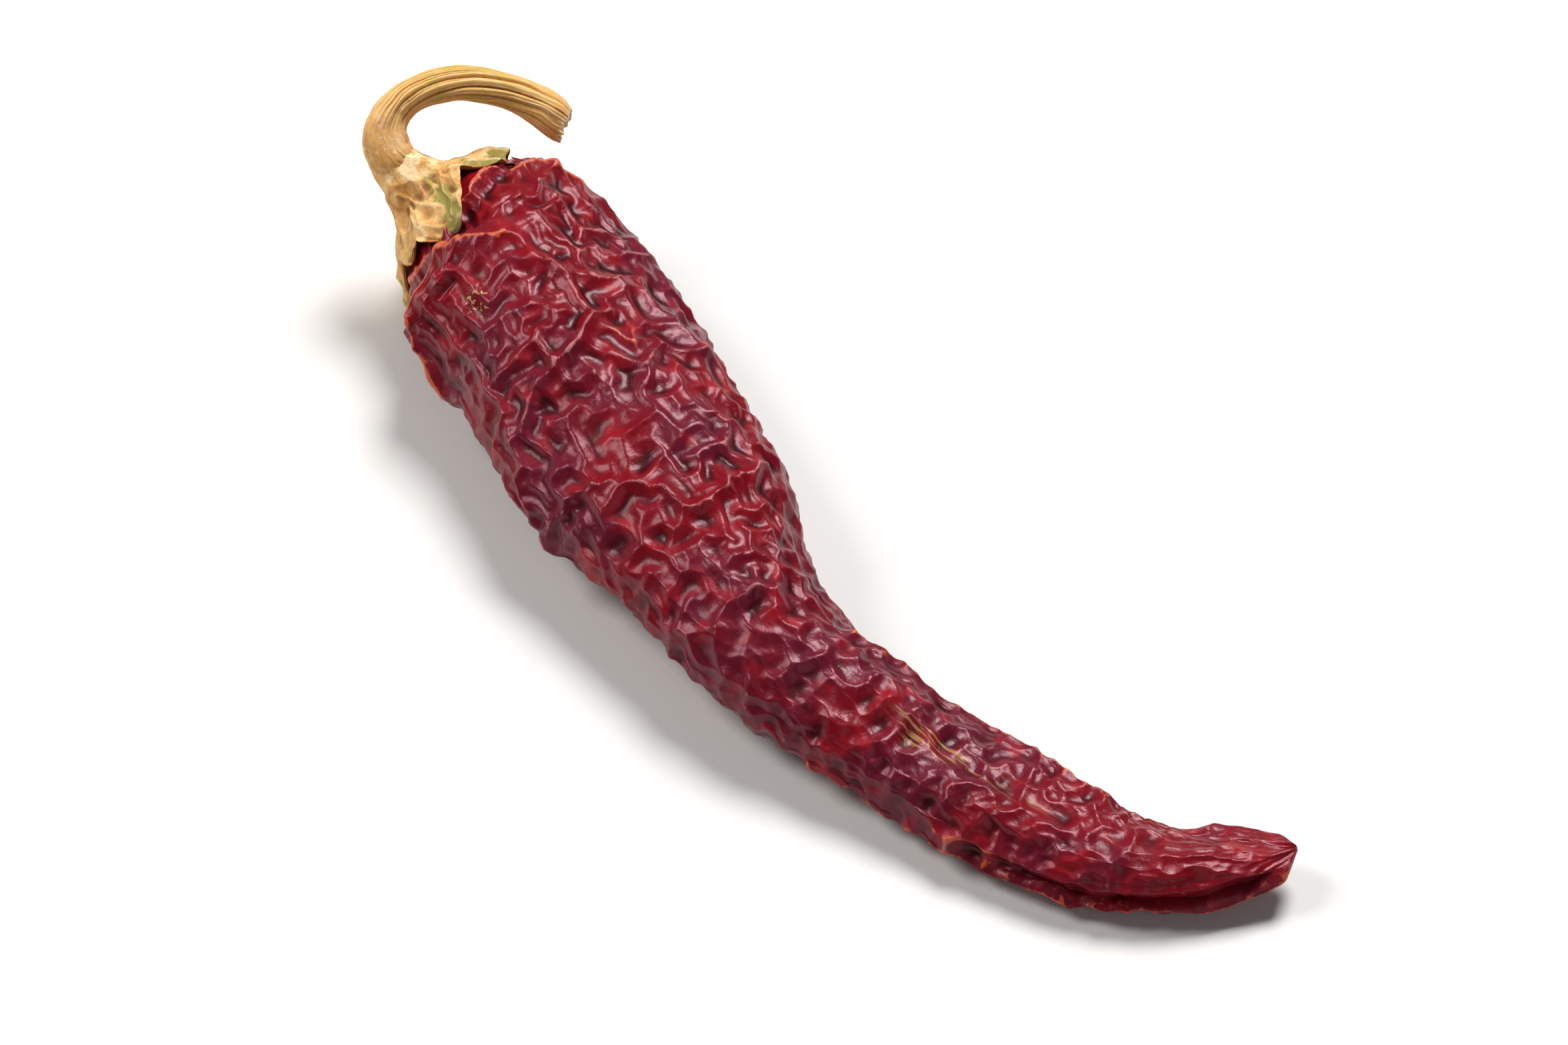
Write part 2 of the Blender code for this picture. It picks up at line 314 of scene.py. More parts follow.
def relax(skin, base, normals, grow_around, grow_along, held, steps, stiff, press, sink, rise):
    """Lets a skin that has outgrown its base buckle, over a soft bed that holds it near the base.

    skin, base and normals are (3, along, around), and the growths and held have a value for each row.
    """
    rows, columns = base.shape[1:]
    grow_u = (1 + grow_around)[:, None]
    grow_v = (1 + grow_along)[:, None]
    edge_u = np.roll(base, -1, 2) - base
    edge_v = base[:, 1:] - base[:, :-1]
    mid_u, mid_v = (grow_u[1:] + grow_u[:-1]) / 2, (grow_v[1:] + grow_v[:-1]) / 2
    rest_u = np.sqrt((edge_u**2).sum(0)) * grow_u
    rest_v = np.sqrt((edge_v**2).sum(0)) * mid_v

    def diagonal(along_v, sign):
        across = edge_u[:, :-1]
        square = (mid_u**2) * (across**2).sum(0) + (mid_v**2) * (along_v**2).sum(0)
        return np.sqrt(np.maximum(square + sign * 2 * mid_u * mid_v * (across * along_v).sum(0), 1e-12))

    rest_down, rest_up = diagonal(np.roll(edge_v, -1, 2), 1), diagonal(edge_v, -1)
    # Neighbours within a ring, from even and from odd points, then those in two rings: straight on and along
    # both diagonals, by how far each ring is turned.
    odd = np.arange(1, columns, 2)
    within = ((slice(0, None, 2), slice(1, None, 2)), (odd, (odd + 1) % columns))
    between = ((0, 0, rest_v, 1.0), (0, 1, rest_down, SQUARE_STIFFNESS), (1, 0, rest_up, SQUARE_STIFFNESS))
    before = skin.copy()
    for _ in range(steps):
        speed = (skin - before) * SPEED_KEPT
        before = skin.copy()
        skin = skin + speed
        for these, others in within:
            move = pull(skin[:, :, these], skin[:, :, others], rest_u[:, these], 1.0)
            skin[:, :, these] += move
            skin[:, :, others] -= move
        for start in (0, 1):
            pairs = (rows - start) // 2
            low = slice(start, start + 2 * pairs, 2)
            high = slice(start + 1, start + 1 + 2 * pairs, 2)
            for turn_low, turn_high, rest, stiffness in between:
                lower = np.roll(skin[:, low], -turn_low, 2)
                higher = np.roll(skin[:, high], -turn_high, 2)
                move = pull(lower, higher, rest[start::2][:pairs], stiffness)
                skin[:, low] += np.roll(move, turn_low, 2)
                skin[:, high] -= np.roll(move, turn_high, 2)
        away = skin - base
        away -= stiff * curvature(curvature(away))
        out = (away * normals).sum(0)
        away -= SLIP_TAKEN_BACK * (away - out * normals)
        away -= (press + np.where(out < 0, sink * out, rise * out)) * normals
        skin = base + away * (1 - held[:, None])
        skin[2] = np.maximum(skin[2], 0)
    return skin


def twice_as_fine(field, shape):
    """(3, along, around) values on a grid with twice the points each way, by a cubic through them."""
    rows, columns = shape
    tall = np.zeros((3, rows, field.shape[2]), field.dtype)
    tall[:, ::2] = field
    padded = np.pad(field, ((0, 0), (1, 1), (0, 0)), mode="edge")
    tall[:, 1::2] = (9 * (field[:, 1:] + field[:, :-1]) - padded[:, 3:] - padded[:, :-3]) / 16
    wide = np.zeros((3, rows, columns), field.dtype)
    wide[:, :, ::2] = tall
    beside = np.roll(tall, -1, 2)
    wide[:, :, 1::2] = (9 * (tall + beside) - np.roll(tall, 1, 2) - np.roll(tall, -2, 2)) / 16
    return wide


# Each pass over the skin, from coarse to fine: grid step, growth around and along in the belly, the same in
# the tail, steps, bending stiffness.
PASSES = (
    (4, 0.085, 0.050, 0.070, 0.010, 300, 0.02),
    (2, 0.150, 0.095, 0.120, 0.020, 300, 0.02),
    (1, 0.170, 0.110, 0.140, 0.025, 150, 0.01),
)
COARSEST = PASSES[0][0]
# The skin starts uneven: how many coarse points wide, and how high (mm).
START_CELL = 2
START_HEIGHT = 0.3
# In the coarsest pass: how strongly the bed holds skin below and above it, and the push inwards (mm).
BED_SINK = 0.015
BED_RISE = 0.004
PRESS = 0.006
# Share of its way from the bed that held skin loses at each step.
HOLD_SHARE = 0.5


def looseness(along):
    """1 where the skin is loose, and 0 where the calyx or the tip holds it."""
    return smooth_ramp(along, *HELD) * fade(along, along[-1] - TIP_HELD, along[-1])


def tail_share(base):
    """0 for a row in the belly and 1 for a row in the tail."""
    return smooth_ramp(base.mean(1)[:, 0], *TAIL)


def grow_skin(base, normals, along):
    """The wrinkled skin over the base, as a (along, around, 3) grid."""
    rng = np.random.default_rng(SKIN_SEED)
    loose, tail = looseness(along), tail_share(base)

    def channels(grid, step):
        return np.ascontiguousarray(np.moveaxis(grid[::step, ::step], 2, 0)).astype(np.float32)

    away = None
    for step, around, lengthwise, tail_around, tail_lengthwise, steps, stiff in PASSES:
        bed, out = channels(base, step), channels(normals, step)
        if away is None:
            uneven = coarse_noise(rng, bed.shape[1:], START_CELL) * START_HEIGHT
            away = (uneven * loose[::step, None]) * out
        else:
            away = twice_as_fine(away, bed.shape[1:])
        grow_around = (loose * blend(around, tail_around, tail))[::step]
        grow_along = (loose * blend(lengthwise, tail_lengthwise, tail))[::step]
        held = HOLD_SHARE * (1 - loose[::step])
        scale = step / COARSEST
        skin = relax(
            (bed + away).astype(np.float32), bed, out,
            grow_around.astype(np.float32), grow_along.astype(np.float32), held.astype(np.float32),
            steps, stiff, PRESS * scale, BED_SINK * scale, BED_RISE * scale,
        )
        away = skin - bed
    return np.moveaxis(skin, 0, 2).astype(float)


# The dried wall sinks into round hollows between sharp crests. Their radius (mm) varies over HOLLOW_CELL
# grid points. In the tail they are longer along the pod, and a little wider.
HOLLOW_RADIUS = 1.05
HOLLOW_VARIETY = 0.6
HOLLOW_CELL = 20
TAIL_STRETCH = 5.0
TAIL_WIDEN = 1.5
# How far a crest can reach around and along, and the least gap between points that counts (mm).
REACH_AROUND = 3.0
REACH_ALONG = 6.0
LEAST_GAP = 0.1
# Share of the buckled skin's slip along the wall that it keeps.
SLIP_SHARE = 0.4
# Grid points over which crests are rounded, and over which the height of a crest and of a fold is taken.
CREST_BLUR = 0.5
CREST_REACH = 1.4
FOLD_REACH = 6
# Small dents on the folds: how many grid points wide, and how deep (mm). These shares of the depth are left
# in the tail and by the calyx, up to between the CROWN's distances along.
DENTS = ((48, 0.80), (28, 0.55), (12, 0.22), (7, 0.22), (4, 0.12))
TAIL_DENTS = 0.45
CROWN_DENTS = 0.3
CROWN = (9.0, 20.0)
# Marks, each made of spots: strength, distance along, angle, half-length and half-width (mm).
SKIN_MARKS = {
    "streak": ((1.0, 101, 99, 5, 1.5), (0.7, 110, 90, 9, 1.3)),
    "fleck": ((1.0, 27.5, 128, 3.0, 2.2),),
    # Painted glow of light through the thin skin: spots of orange crests.
    "painted_glow": ((1.0, 41, 74, 5, 4), (1.0, 15, 40, 8, 6)),
    "edge": ((1.0, 104, 26, 12, 1.6),),
}


def hollow_out(height, gap_around, gap_along, radius_around, radius_along):
    """The height (along, around) sunk into hollows of those radii, with sharp crests between them."""
    rows = len(height)
    across = height.copy()
    for k in range(1, int(REACH_AROUND / gap_around.min()) + 1):
        rise = (k * gap_around[:, None]) ** 2 / (2 * radius_around)
        across = np.minimum(across, np.minimum(np.roll(height, k, 1), np.roll(height, -k, 1)) + rise)
    out = across.copy()
    for k in range(1, int(REACH_ALONG / gap_along) + 1):
        rise = (k * gap_along) ** 2 / (2 * radius_along)
        out[k:] = np.minimum(out[k:], across[: rows - k] + rise[k:])
        out[: rows - k] = np.minimum(out[: rows - k], across[k:] + rise[: rows - k])
    return out


def blurred(field, reach):
    """A (along, around) field spread over its neighbours; reach is in points."""
    out = field.copy()
    for _ in range(round(4 * reach * reach)):
        rows = np.concatenate((out[:1], out, out[-1:]))
        out = out / 2 + (rows[2:] + rows[:-2] + np.roll(out, 1, 1) + np.roll(out, -1, 1)) / 8
    return out


def relief(skin, normals, reach):
    """How far each point stands out of its surroundings, as a share of the usual height."""
    around = np.stack([blurred(skin[..., k], reach) for k in range(3)], -1)
    height = ((skin - around) * normals).sum(2)
    return height / height.std()


def mark_layers(marks, along, angles, width_of_degree):
    """For each mark, a layer that has its strength in the middle of a spot and fades round it."""
    layers = {}
    for name, spots in marks.items():
        layer = 0.0
        for strength, middle, angle, half_length, half_width in spots:
            ds = (along - middle) / half_length
            da = angle_from(angles[None], angle) * width_of_degree / half_width
            layer = layer + strength * np.exp(-(ds**2 + da**2))
        layers[name] = layer
    return layers


def add_object(name, vertices, faces, uvs, attributes, material):
    """A smooth-shaded mesh object from millimetre vertices; uvs has a pair for each face corner."""
    mesh = bpy.data.meshes.new(name)
    mesh.from_pydata((np.asarray(vertices) * MM).tolist(), [], faces)
    mesh.shade_smooth()
    layer = mesh.uv_layers.new(name="OFBake")
    layer.data.foreach_set("uv", np.asarray(uvs, np.float32).ravel())
    for key, values in attributes.items():
        attribute = mesh.attributes.new(key, "FLOAT", "POINT")
        attribute.data.foreach_set("value", np.asarray(values, np.float32).ravel())
    mesh.materials.append(material)
    obj = bpy.data.objects.new(name, mesh)
    bpy.context.scene.collection.objects.link(obj)
    return obj


def ring_quads(rows, columns, joined=False):
    """Faces between closed rings, and from the last to the first if joined, with each corner's (u, v)."""
    faces, uvs = [], []
    for i in range(rows if joined else rows - 1):
        low, high = i / (rows - 1), min((i + 1) / (rows - 1), 1)
        a, b = i * columns, (i + 1) % rows * columns
        for j in range(columns):
            k = (j + 1) % columns
            faces.append((a + j, a + k, b + k, b + j))
            left, right = j / columns, (j + 1) / columns
            uvs += [(left, low), (right, low), (right, high), (left, high)]
    return faces, uvs


def fan(columns, first, pole, level, flip):
    """Triangles from a ring to the vertex that closes it."""
    faces, uvs = [], []
    for j in range(columns):
        a, b = (j + 1, j) if flip else (j, j + 1)
        faces.append((first + a % columns, first + b % columns, pole))
        uvs += [(a / columns, level), (b / columns, level), ((j + 0.5) / columns, level)]
    return faces, uvs


def tube(rings, first_pole, last_pole):
    """Vertices, faces and uvs of closed rings, with a point that closes each end."""
    rows, columns = rings.shape[:2]
    vertices = np.concatenate((rings.reshape(-1, 3), (first_pole, last_pole)))
    faces, uvs = ring_quads(rows, columns)
    count = rows * columns
    for ring, pole, level, flip in ((0, count, 0.0, True), (count - columns, count + 1, 1.0, False)):
        more_faces, more_uvs = fan(columns, ring, pole, level, flip)
        faces += more_faces
        uvs += more_uvs
    return vertices, faces, uvs


def on_tube(rings, first_pole, last_pole):
    """Values in the order of a tube's vertices."""
    return np.concatenate((rings.ravel(), (first_pole, last_pole)))


def outward(obj):
    """Turns a closed mesh's faces to point outwards."""
    bm = bmesh.new()
    bm.from_mesh(obj.data)
    bmesh.ops.recalc_face_normals(bm, faces=bm.faces)
    bm.to_mesh(obj.data)
    bm.free()


def tuck_under_calyx(skin, offset):
    """Lowers the skin where it would come through the calyx that covers it."""
    up, side = calyx_frame()
    away = skin - (CALYX_JOINT + offset)
    distance, x, y = away @ CALYX_AXIS, away @ up, away @ side
    angles = np.degrees(np.arctan2(y, x)) % 360
    even_radius = np.hypot(x, y) / (1 - CALYX_LOPSIDED * np.cos(np.radians(angles)))
    profile = np.array(CALYX_PROFILE)
    roof = np.interp(even_radius, profile[:, 1], profile[:, 0], right=-100)
    covered = smooth_ramp(roof - closed_spline(CALYX_RIM, angles), *CALYX_COVERS)
    over = np.maximum(distance - (roof - CALYX_CLEARANCE), 0) * covered
    return skin - CALYX_AXIS * over[..., None]


def with_dents(rng, height, along, tail):
    """The height with the small dents added."""
    share = looseness(along) * blend(1, TAIL_DENTS, tail)
    share = share * blend(CROWN_DENTS, 1, smooth_ramp(along, *CROWN))
    for cell, depth in DENTS:
        height = height + depth * share[:, None] * coarse_noise(rng, height.shape, cell)
    return height


def with_hollows(rng, height, base, gap_along, tail):
    """The height sunk into hollows, with its crests a little rounded."""
    radius = HOLLOW_RADIUS * np.exp(HOLLOW_VARIETY * coarse_noise(rng, height.shape, HOLLOW_CELL))
    radius_around = radius * blend(1, TAIL_WIDEN, tail[:, None])
    radius_along = radius * blend(1, TAIL_STRETCH, tail[:, None])
    gap_around = np.maximum(gaps_around(base).mean(1), LEAST_GAP)
    return blurred(hollow_out(height, gap_around, gap_along, radius_around, radius_along), CREST_BLUR)


def wrinkled_skin(base, along, offset):
    """The skin over the smooth pod, as a grid, and 1 on the lips of its folds."""
    rng = np.random.default_rng(DENT_SEED)
    normals = grid_normals(base)
    folds, lip = fold_height(along, base)
    tail = tail_share(base)
    away = grow_skin(base, normals, along) - base
    height = (away * normals).sum(2)
    slip = away - height[..., None] * normals
    height = with_dents(rng, height + folds, along, tail)
    height = with_hollows(rng, height, base, along[1], tail)
    height = height + CROWN_LIFT * fade(along, *CROWN_LIFT_FADE)[:, None]
    skin = base + slip * SLIP_SHARE + height[..., None] * normals
    skin = tuck_under_calyx(skin, offset)
    skin[..., 2] = np.maximum(skin[..., 2], 0)
    return skin, lip


def make_pod(offset, material):
    base, along = pod_surface()
    base = base + offset
    skin, lip = wrinkled_skin(base, along, offset)
    normals = grid_normals(skin)
    angles = evenly_round(POD_AROUND)
    mm_per_degree = np.radians(ring_radius(base))[:, None]
    layers = {
        "crest": relief(skin, normals, CREST_REACH),
        "relief": relief(skin, normals, FOLD_REACH),
        "lip": lip,
        "along": along[:, None] + np.zeros(POD_AROUND),
        "across": ((angles[None] + 90) % 360) * mm_per_degree,
        **mark_layers(SKIN_MARKS, along[:, None], angles, mm_per_degree),
    }
    vertices, faces, uvs = tube(skin[1:-1], skin[0, 0], skin[-1, 0])
    values = {name: on_tube(layer[1:-1], layer[0, 0], layer[-1, 0]) for name, layer in layers.items()}
    return add_object("pod_wrinkled_skin", vertices, faces, uvs, values, material)


# The calyx: a crumpled funnel with a torn, wavy rim. Its angles go round its axis: 0 on its upper side, which
# faces CALYX_UP, 90 on its front side, 180 underneath.
CALYX_AROUND = 360
CALYX_ROWS = 110
CALYX_SEED = 8
CALYX_UP = np.array((0.0186, 0.844, 0.535))
# Distance along the axis and mean radius, from the neck to the rim, rounded over CALYX_ROUNDING points.
CALYX_ROUNDING = 1.5
CALYX_PROFILE = (
    (11.4, 1.9), (10.4, 2.65), (9.4, 3.1), (8.0, 3.6), (6.6, 4.1), (5.6, 4.6), (4.8, 5.6), (4.0, 6.9),
    (3.2, 7.9), (2.2, 8.9), (1.1, 9.7), (-0.2, 10.3), (-1.5, 10.6),
)
# Where the rim ends at each angle: (angle, distance along the axis).
CALYX_RIM = (
    (0, 0.3), (22, 0.2), (38, 1.4), (54, 3.3), (68, 2.6), (84, 1.0), (100, -0.4), (112, 0.8), (128, 2.6),
    (142, 1.6), (156, 2.3), (170, 0.8), (184, -0.5), (204, -1.2), (222, 0.0), (240, 1.8), (262, 0.8),
    (284, 0.0), (304, 0.9), (324, 0.5), (344, 0.2),
)
# Between these distances from the rim's edge (mm) the pod turns from bare to covered.
CALYX_COVERS = (-0.5, 0.3)
# How deep the rim is torn (mm), and the tears: how many grid points wide, and their share of the depth.
CALYX_TEAR = 0.22
CALYX_TEARS = ((9, 1.0), (3, 0.6))
# Underneath, the funnel is wider by this share. It fades between these distances along the axis.
CALYX_LOPSIDED = 0.15
CALYX_FLARE = (3.5, 9.5)
# Thickness of the wall (mm), which thins to its edge from this share of the way to the rim on.
CALYX_WALL = 0.50
CALYX_EDGE_WALL = 0.18
CALYX_EDGE_FROM = 0.85
# Ribs: how many go round, how high (mm), and their phase (radians).
CALYX_RIBS = ((7, 0.22, 0.0), (11, 0.16, 1.3))
# The rim's ruffle: waves round it, height (mm), how often and how far they bunch up, and where it grows
# (shares of the way to the rim).
CALYX_RUFFLE = (9, 0.5, 3, 0.8)
CALYX_RUFFLED = (0.7, 1.0)
# Folds: (how many grid points wide, how high in mm), the radius of the hollows between them (mm), and how
# much longer than wide these are.
CALYX_CRUMPLE = ((30, 0.55), (14, 0.60), (7, 0.44), (4, 0.22))
CALYX_HOLLOW = 0.8
CALYX_STRETCH = 1.5
# How much longer the funnel's side is than its axis.
CALYX_SLOPE = 1.3
# Share of the folds' height that is left on the neck, and the share of the way over which they begin.
NECK_FOLDS = 0.35
FOLDS_BEGIN = 0.12
# Ring-like swelling: distance along the axis, angle, the ring's radius and width (mm), and its height.
CALYX_SCAR = (7.0, 132, 1.15, 0.45)
CALYX_SCAR_RISE = 0.40
CALYX_CREST_REACH = 3
# Marks: strength, share of the way to the rim, angle, half-length (share) and half-angle.
CALYX_MARKS = {
    "green": (
        (1.0, 0.72, 84, 0.20, 13), (1.0, 0.97, 98, 0.14, 14),
        (1.0, 0.95, 24, 0.30, 30), (0.8, 1.00, 190, 0.16, 34),
    ),
    "pale": ((1.0, 0.25, 78, 0.16, 50), (0.7, 0.45, 50, 0.20, 22)),
    "pink": ((1.0, 0.13, 95, 0.10, 22), (1.0, 0.20, 45, 0.12, 20), (0.8, 0.50, 96, 0.14, 16)),
}


def calyx_frame():
    """Directions across the calyx's axis: to its upper side and to its front."""
    side = unit(np.cross(CALYX_UP, CALYX_AXIS))
    return np.cross(CALYX_AXIS, side), side


def closed_spline(knots, angles):
    """A smooth closed curve through (angle, value) knots."""
    knot_angles, values = np.array(knots, float).T
    x = np.concatenate((knot_angles - 360, knot_angles, knot_angles + 360))
    y = np.tile(values, 3)
    slope = np.gradient(y, x)
    i = np.clip(np.searchsorted(x, angles, side="right") - 1, 0, len(x) - 2)
    width = x[i + 1] - x[i]
    t = (angles - x[i]) / width
    return (
        y[i] * (1 + 2 * t) * (1 - t) ** 2 + slope[i] * width * t * (1 - t) ** 2
        + y[i + 1] * t * t * (3 - 2 * t) + slope[i + 1] * width * t * t * (t - 1)
    )


def calyx_scar(distance, radius, angles):
    """1 on the ring-like swelling, falling smoothly to 0 beside it."""
    along, angle, ring_size, ring_width = CALYX_SCAR
    gap = np.radians(angle_from(angles[None], angle)) * radius
    return np.exp(-(((np.hypot(distance - along, gap) - ring_size) / ring_width) ** 2))


def calyx_folds(rng, share, turn, radius, flare, scar, gap_along):
    """Height of the folds over the smooth funnel (mm)."""
    height = sum(rise * np.cos(count * turn + start) for count, rise, start in CALYX_RIBS)[None]
    waves, ruffle_rise, bunches, bunching = CALYX_RUFFLE
    ruffle = ruffle_rise * np.cos(waves * turn + bunching * np.sin(bunches * turn))[None]
    height = height + ruffle * smooth_ramp(share, *CALYX_RUFFLED)
    for cell, rise in CALYX_CRUMPLE:
        height = height + rise * coarse_noise(rng, radius.shape, cell)
    height = height + CALYX_SCAR_RISE * scar
    gap_around = radius.mean(1) * math.tau / CALYX_AROUND
    hollow = np.full(height.shape, CALYX_HOLLOW)
    height = blurred(hollow_out(height, gap_around, gap_along, hollow, hollow * CALYX_STRETCH), CREST_BLUR)
    return height * blend(NECK_FOLDS, 1, flare) * smooth_ramp(share, 0.0, FOLDS_BEGIN)


def closed_wall(outer, inner):
    """Vertices, faces and uvs of a wall between two surfaces of rings, joined at both of its edges."""
    loop = np.concatenate((outer, inner[::-1]))
    loop[..., 2] = np.maximum(loop[..., 2], 0)
    return loop.reshape(-1, 3), *ring_quads(*loop.shape[:2], joined=True)


def make_calyx(offset, material):
    rng = np.random.default_rng(CALYX_SEED)
    up, side = calyx_frame()
    angles = evenly_round(CALYX_AROUND)
    turn = np.radians(angles)
    torn = sum(depth * coarse_noise(rng, (1, CALYX_AROUND), cell)[0] for cell, depth in CALYX_TEARS)
    rim = closed_spline(CALYX_RIM, angles) + CALYX_TEAR * torn
    share = np.linspace(0, 1, CALYX_ROWS)[:, None]
    top = CALYX_PROFILE[0][0]
    distance = top + (rim[None] - top) * share
    profile = np.array(CALYX_PROFILE)[::-1]
    radius = blurred(np.interp(distance, profile[:, 0], profile[:, 1]), CALYX_ROUNDING)
    flare = fade(distance, *CALYX_FLARE)
    radius = radius * (1 - CALYX_LOPSIDED * np.cos(turn)[None] * flare)
    across = up * np.cos(turn)[:, None] + side * np.sin(turn)[:, None]
    funnel = CALYX_JOINT + offset + CALYX_AXIS * distance[..., None] + across[None] * radius[..., None]
    scar = calyx_scar(distance, radius, angles)
    gap_along = (top - rim.mean()) * CALYX_SLOPE / CALYX_ROWS
    height = calyx_folds(rng, share, turn, radius, flare, scar, gap_along)
    outer = funnel + grid_normals(funnel) * height[..., None]
    normals = grid_normals(outer)
    wall = blend(CALYX_EDGE_WALL, CALYX_WALL, fade(share, CALYX_EDGE_FROM, 1.0))
    vertices, faces, uvs = closed_wall(outer, outer - normals * wall[..., None])
    layers = {
        "crest": relief(outer, normals, CALYX_CREST_REACH),
        "scar": scar,
        **mark_layers(CALYX_MARKS, share, angles, 1.0),
    }
    values = {name: np.concatenate((layer, layer[::-1])) for name, layer in layers.items()}
    values["inside"] = np.repeat((0.0, 1.0), scar.size)
    calyx = add_object("calyx_crumpled_cap", vertices, faces, uvs, values, material)
    outward(calyx)
    return calyx


# The stem: a ridged, hooked stalk, and its centreline's x, y, z and radius.
STEM_POINTS = (
    (-7.2, -2.2, 15.7, 2.2),
    (-8.5, -2.4, 16.6, 2.75),
    (-10.0, -2.1, 18.0, 2.6),
    (-11.1, -0.9, 19.3, 2.3),
    (-11.5, 1.1, 20.4, 2.1),
    (-10.8, 3.5, 21.4, 2.0),
    (-8.8, 6.6, 22.1, 2.0),
    (-6.1, 9.3, 21.9, 2.0),
    (-3.2, 11.5, 21.0, 2.05),
    (-0.8, 12.9, 19.8, 2.25),
    (1.5, 13.8, 18.5, 2.55),
)
STEM_AROUND = 180
STEM_ROWS = 300
STEM_SEED = 9
# It comes out of the calyx between these distances along it, and shows its ridges in full from there on.
OUT_OF_CALYX = (3.0, 8.0)
# It is a little oval: by this share, and the phase of its long side (radians).
STEM_OVAL = (0.08, 0.6)
# Grooves: how many, how far they wind round the stem (degrees), how deep (mm) and how narrow they are, and
# how they wander: how many grid points wide, and how far (radians).
STEM_GROOVES = 12
STEM_TWIST = 70
GROOVE_DEPTH = 0.30
GROOVE_NARROWNESS = 1.8
GROOVE_WANDER = ((30, 0.16), (12, 0.05))
# A groove's depth varies: over how many grid points, by what share, and the limits. In the calyx only
# these shares of the grooves' depth and of the fibres' height are left.
GROOVE_VARIETY = (30, 0.7)
GROOVE_LIMITS = (0.1, 2.0)
BASE_GROOVES = 0.2
BASE_FIBRES = 0.5
# How far the ridges stand out of the stem's radius (mm).
RIDGE_RISE = 0.1
# Fibres: how high (mm), how many go round, and their phase (radians).
STEM_FIBRES = ((0.05, 31, 1.7), (0.03, 47, 0.4))
# Lumps: how high (mm), and how many grid points wide.
STEM_LUMPS = ((0.11, 20), (0.05, 8))
# Knobs at the calyx: height, distance along, half-length (mm), how many and their phase (radians).
STEM_KNOBS = (0.30, 4.5, 2.2, 3, 1.0)
# The dried, frayed end: each ring's share of the end's radius and how far it bulges (mm).
STEM_END = ((0.95, 0.28), (0.86, 0.52), (0.73, 0.72), (0.57, 0.84), (0.40, 0.88), (0.23, 0.86), (0.1, 0.84))
# Away from CLEAN_SIDE, fibres FRAY_CELL grid points wide stick out by FRAY (least, variation). They begin
# FRAY_LENGTH before the end, whose middle is sunk by FRAY_SINK of them. The clean side narrows by a taper.
FRAY = (0.33, 1.65)
FRAY_CELL = 3
FRAY_LENGTH = 2.0
FRAY_SINK = 1.4
CLEAN_SIDE = np.array((-0.52, 0.53, 0.67))
CLEAN_TAPER = 0.22
# Roughness of the end: how high (mm), and how many grid points wide.
END_ROUGHNESS = (0.16, 5)
# The hidden base closes to this share of its radius.
BASE_RING = 0.02


def catmull_rom(points, places):
    """Points of the smooth curve through the points, at places counted in points."""
    padded = np.concatenate((2 * points[:1] - points[1:2], points, 2 * points[-1:] - points[-2:-1]))
    i = np.minimum(np.floor(places).astype(int), len(points) - 2)
    t = (places - i)[:, None]
    a, b, c, d = padded[i], padded[i + 1], padded[i + 2], padded[i + 3]
    linear = (c - a) / 2
    square = a - b * 2.5 + c * 2 - d * 0.5
    cube = (d - a) / 2 + (b - c) * 1.5
    return b + linear * t + square * t**2 + cube * t**3


def carried_frames(route):
    """Directions across the route that turn with it without twisting."""
    ways = unit(np.gradient(route, axis=0))
    sides = [unit(np.cross(ways[0], (0, 1, 0)))]
    for way in ways[1:]:
        side = sides[-1] - way * np.dot(sides[-1], way)
        sides.append(side / np.linalg.norm(side))
    sides = np.array(sides)
    return ways, sides, np.cross(ways, sides)


def stem_ridges(rng, along, radius, angles):
    """How far the stem reaches from its centreline (mm), its grooves (1 at the bottom) and their turn."""
    shape = (STEM_ROWS, STEM_AROUND)
    phase = angles[None] + (np.radians(STEM_TWIST) * along / along[-1])[:, None]
    for cell, reach in GROOVE_WANDER:
        phase = phase + reach * coarse_noise(rng, shape, cell)
    groove = (1 - np.abs(np.sin(phase * STEM_GROOVES / 2))) ** GROOVE_NARROWNESS
    cell, variety = GROOVE_VARIETY
    varied = np.clip(1 + variety * coarse_noise(rng, shape, cell), *GROOVE_LIMITS)
    free = smooth_ramp(along, *OUT_OF_CALYX)[:, None]
    fibres = sum(rise * np.cos(phase * count + start) for rise, count, start in STEM_FIBRES)
    lumps = sum(rise * coarse_noise(rng, shape, cell) for rise, cell in STEM_LUMPS)
    rise, middle, half_length, count, start = STEM_KNOBS
    knobs = rise * np.exp(-(((along - middle) / half_length) ** 2))[:, None]
    knobs = knobs * np.cos(angles * count + start)[None]
    oval, long_side = STEM_OVAL
    reach = radius[:, None] * (1 + oval * np.cos(angles * 2 + long_side)[None])
    reach = reach - groove * (GROOVE_DEPTH * varied) * blend(BASE_GROOVES, 1, free)
    reach = reach + (fibres + lumps) * blend(BASE_FIBRES, 1, free) + knobs + RIDGE_RISE
    return reach, groove, phase


